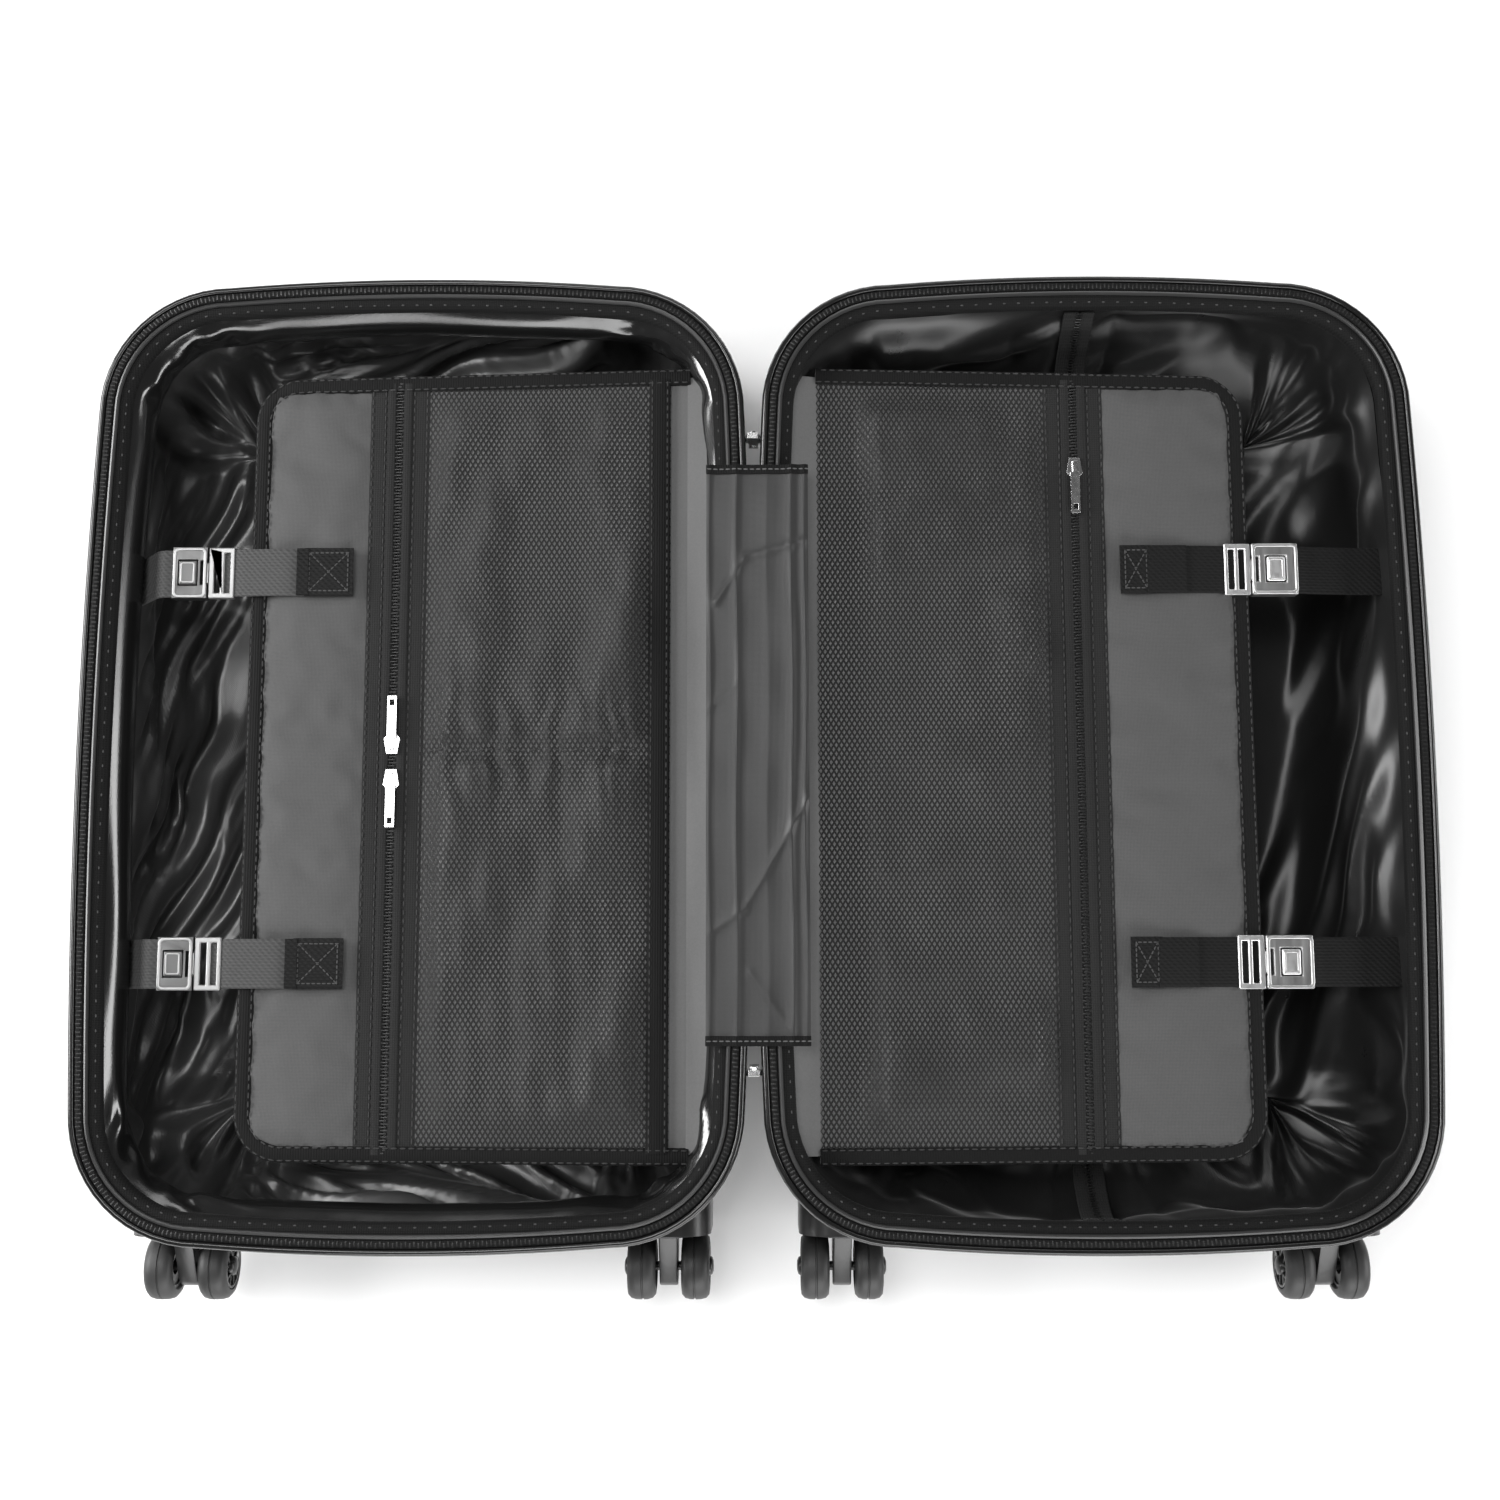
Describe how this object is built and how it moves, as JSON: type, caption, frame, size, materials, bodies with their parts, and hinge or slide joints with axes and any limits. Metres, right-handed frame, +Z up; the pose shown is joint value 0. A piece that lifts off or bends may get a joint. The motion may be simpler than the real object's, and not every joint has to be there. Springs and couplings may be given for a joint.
{
  "type": "hard shell suitcase on wheels",
  "caption": "Cabin-size hard shell suitcase lying open like a book, with dividers, buckled straps, trolley handle and twin-wheel casters.",
  "frame": {"origin": "on the floor under the middle of the open case, handles and wheels included", "axes": "+Z up; +X across the two open halves, from the front half to the back half; +Y along the hinge, from the wheel end to the handle end"},
  "size_m": [0.7056, 0.5501, 0.1146],
  "materials": {
    "shell": "glossy moulded polycarbonate",
    "zip_tape": "woven tape with piping and stitches",
    "lining": "black satin",
    "grey_fabric": "grey polyester, lightly padded",
    "mesh_fabric": "knitted hexagonal mesh",
    "webbing": "woven webbing",
    "bright_metal": "nickel plated",
    "aluminium": "satin anodised",
    "black_plastic": "fine grained moulding",
    "rubber": "smooth tread"
  },
  "bodies": {
    "front_half": {"front_shell": "shell", "front_zip_tape": "zip_tape", "front_lining": "lining", "front_gusset": "grey_fabric", "front_wall_strap_upper": "webbing", "front_buckle_upper": "bright_metal", "front_wall_strap_lower": "webbing", "front_buckle_lower": "bright_metal", "front_caster_inner_housing": "black_plastic", "front_caster_outer_housing": "black_plastic"},
    "back_half": {"back_shell": "shell", "back_zip_tape": "zip_tape", "back_lining": "lining", "back_gusset": "grey_fabric", "back_wall_strap_upper": "webbing", "back_buckle_upper": "bright_metal", "back_wall_strap_lower": "webbing", "back_buckle_lower": "bright_metal", "back_caster_inner_housing": "black_plastic", "back_caster_outer_housing": "black_plastic", "handle_housing": "black_plastic", "handle_tube_frame": "aluminium", "zip_slider_top": "bright_metal", "zip_slider_bottom": "bright_metal"},
    "front_divider": {"front_divider_panel": "grey_fabric", "front_divider_mesh": "mesh_fabric", "front_divider_strap_upper": "webbing", "front_buckle_tongue_upper": "bright_metal", "front_divider_strap_lower": "webbing", "front_buckle_tongue_lower": "bright_metal"},
    "back_divider": {"back_divider_panel": "grey_fabric", "back_divider_mesh": "mesh_fabric", "back_divider_strap_upper": "webbing", "back_buckle_tongue_upper": "bright_metal", "back_divider_strap_lower": "webbing", "back_buckle_tongue_lower": "bright_metal"},
    "front_zip_slider_upper": {"front_zip_slider_upper": "bright_metal"},
    "front_zip_slider_lower": {"front_zip_slider_lower": "bright_metal"},
    "back_zip_slider": {"back_zip_slider": "bright_metal"},
    "front_buckle_button_upper": {"front_buckle_button_upper": "bright_metal"},
    "front_buckle_button_lower": {"front_buckle_button_lower": "bright_metal"},
    "back_buckle_button_upper": {"back_buckle_button_upper": "bright_metal"},
    "back_buckle_button_lower": {"back_buckle_button_lower": "bright_metal"},
    "trolley": {"handle_tubes": "aluminium", "handle_grip": "black_plastic"},
    "handle_button": {"handle_button": "black_plastic"},
    "top_carry_handle": {"top_carry_handle": "black_plastic"},
    "side_carry_handle": {"side_carry_handle": "black_plastic"},
    "front_caster_inner_fork": {"front_caster_inner_fork": "black_plastic"},
    "front_caster_inner_wheel_left": {"front_caster_inner_wheel_left": "rubber"},
    "front_caster_inner_wheel_right": {"front_caster_inner_wheel_right": "rubber"},
    "front_caster_outer_fork": {"front_caster_outer_fork": "black_plastic"},
    "front_caster_outer_wheel_left": {"front_caster_outer_wheel_left": "rubber"},
    "front_caster_outer_wheel_right": {"front_caster_outer_wheel_right": "rubber"},
    "back_caster_inner_fork": {"back_caster_inner_fork": "black_plastic"},
    "back_caster_inner_wheel_left": {"back_caster_inner_wheel_left": "rubber"},
    "back_caster_inner_wheel_right": {"back_caster_inner_wheel_right": "rubber"},
    "back_caster_outer_fork": {"back_caster_outer_fork": "black_plastic"},
    "back_caster_outer_wheel_left": {"back_caster_outer_wheel_left": "rubber"},
    "back_caster_outer_wheel_right": {"back_caster_outer_wheel_right": "rubber"}
  },
  "joints": [
    {"name": "case_hinge", "type": "hinge", "parent": "back_half", "child": "front_half", "pos_m": [-0.00875, 0.00865, 0.115], "axis": [0, 1, 0], "range_deg": [0, 180]},
    {"name": "front_divider_hinge", "type": "hinge", "parent": "front_half", "child": "front_divider", "pos_m": [-0.04075, 0.00865, 0.0965], "axis": [0, -1, 0], "range_deg": [-90, 0]},
    {"name": "back_divider_hinge", "type": "hinge", "parent": "back_half", "child": "back_divider", "pos_m": [0.02325, 0.00865, 0.0965], "axis": [0, 1, 0], "range_deg": [-90, 0]},
    {"name": "front_zip_slider_upper_slide", "type": "slide", "parent": "front_divider", "child": "front_zip_slider_upper", "axis": [0, 1, 0], "range_m": [0, 0.165]},
    {"name": "front_zip_slider_lower_slide", "type": "slide", "parent": "front_divider", "child": "front_zip_slider_lower", "axis": [0, 1, 0], "range_m": [-0.16, 0]},
    {"name": "back_zip_slider_slide", "type": "slide", "parent": "back_divider", "child": "back_zip_slider", "axis": [0, 1, 0], "range_m": [-0.32, 0.035]},
    {"name": "front_buckle_button_upper_press", "type": "slide", "parent": "front_half", "child": "front_buckle_button_upper", "axis": [0, 0, -1], "range_m": [0, 0.0015], "stiffness_N_per_m": 200},
    {"name": "front_buckle_button_lower_press", "type": "slide", "parent": "front_half", "child": "front_buckle_button_lower", "axis": [0, 0, -1], "range_m": [0, 0.0015], "stiffness_N_per_m": 200},
    {"name": "back_buckle_button_upper_press", "type": "slide", "parent": "back_half", "child": "back_buckle_button_upper", "axis": [0, 0, -1], "range_m": [0, 0.0015], "stiffness_N_per_m": 200},
    {"name": "back_buckle_button_lower_press", "type": "slide", "parent": "back_half", "child": "back_buckle_button_lower", "axis": [0, 0, -1], "range_m": [0, 0.0015], "stiffness_N_per_m": 200},
    {"name": "trolley_slide", "type": "slide", "parent": "back_half", "child": "trolley", "axis": [0, 1, 0], "range_m": [0, 0.38]},
    {"name": "handle_button_press", "type": "slide", "parent": "trolley", "child": "handle_button", "axis": [0, -1, 0], "range_m": [0, 0.002], "stiffness_N_per_m": 200},
    {"name": "top_carry_handle_lift", "type": "slide", "parent": "back_half", "child": "top_carry_handle", "axis": [0, 1, 0], "range_m": [0, 0.008], "stiffness_N_per_m": 150},
    {"name": "side_carry_handle_lift", "type": "slide", "parent": "back_half", "child": "side_carry_handle", "axis": [1, 0, 0], "range_m": [0, 0.008], "stiffness_N_per_m": 150},
    {"name": "front_caster_inner_swivel", "type": "hinge", "parent": "front_half", "child": "front_caster_inner_fork", "pos_m": [-0.0545, -0.24135, 0.044], "axis": [0, 1, 0], "continuous": true},
    {"name": "front_caster_inner_spin_left", "type": "hinge", "parent": "front_caster_inner_fork", "child": "front_caster_inner_wheel_left", "pos_m": [-0.0545, -0.25765, 0.034], "axis": [1, 0, 0], "continuous": true},
    {"name": "front_caster_inner_spin_right", "type": "hinge", "parent": "front_caster_inner_fork", "child": "front_caster_inner_wheel_right", "pos_m": [-0.0545, -0.25765, 0.034], "axis": [1, 0, 0], "continuous": true},
    {"name": "front_caster_outer_swivel", "type": "hinge", "parent": "front_half", "child": "front_caster_outer_fork", "pos_m": [-0.3085, -0.24135, 0.044], "axis": [0, 1, 0], "continuous": true},
    {"name": "front_caster_outer_spin_left", "type": "hinge", "parent": "front_caster_outer_fork", "child": "front_caster_outer_wheel_left", "pos_m": [-0.3085, -0.25765, 0.034], "axis": [1, 0, 0], "continuous": true},
    {"name": "front_caster_outer_spin_right", "type": "hinge", "parent": "front_caster_outer_fork", "child": "front_caster_outer_wheel_right", "pos_m": [-0.3085, -0.25765, 0.034], "axis": [1, 0, 0], "continuous": true},
    {"name": "back_caster_inner_swivel", "type": "hinge", "parent": "back_half", "child": "back_caster_inner_fork", "pos_m": [0.037, -0.24135, 0.044], "axis": [0, 1, 0], "continuous": true},
    {"name": "back_caster_inner_spin_left", "type": "hinge", "parent": "back_caster_inner_fork", "child": "back_caster_inner_wheel_left", "pos_m": [0.037, -0.25765, 0.034], "axis": [1, 0, 0], "continuous": true},
    {"name": "back_caster_inner_spin_right", "type": "hinge", "parent": "back_caster_inner_fork", "child": "back_caster_inner_wheel_right", "pos_m": [0.037, -0.25765, 0.034], "axis": [1, 0, 0], "continuous": true},
    {"name": "back_caster_outer_swivel", "type": "hinge", "parent": "back_half", "child": "back_caster_outer_fork", "pos_m": [0.291, -0.24135, 0.044], "axis": [0, 1, 0], "continuous": true},
    {"name": "back_caster_outer_spin_left", "type": "hinge", "parent": "back_caster_outer_fork", "child": "back_caster_outer_wheel_left", "pos_m": [0.291, -0.25765, 0.034], "axis": [1, 0, 0], "continuous": true},
    {"name": "back_caster_outer_spin_right", "type": "hinge", "parent": "back_caster_outer_fork", "child": "back_caster_outer_wheel_right", "pos_m": [0.291, -0.25765, 0.034], "axis": [1, 0, 0], "continuous": true}
  ]
}
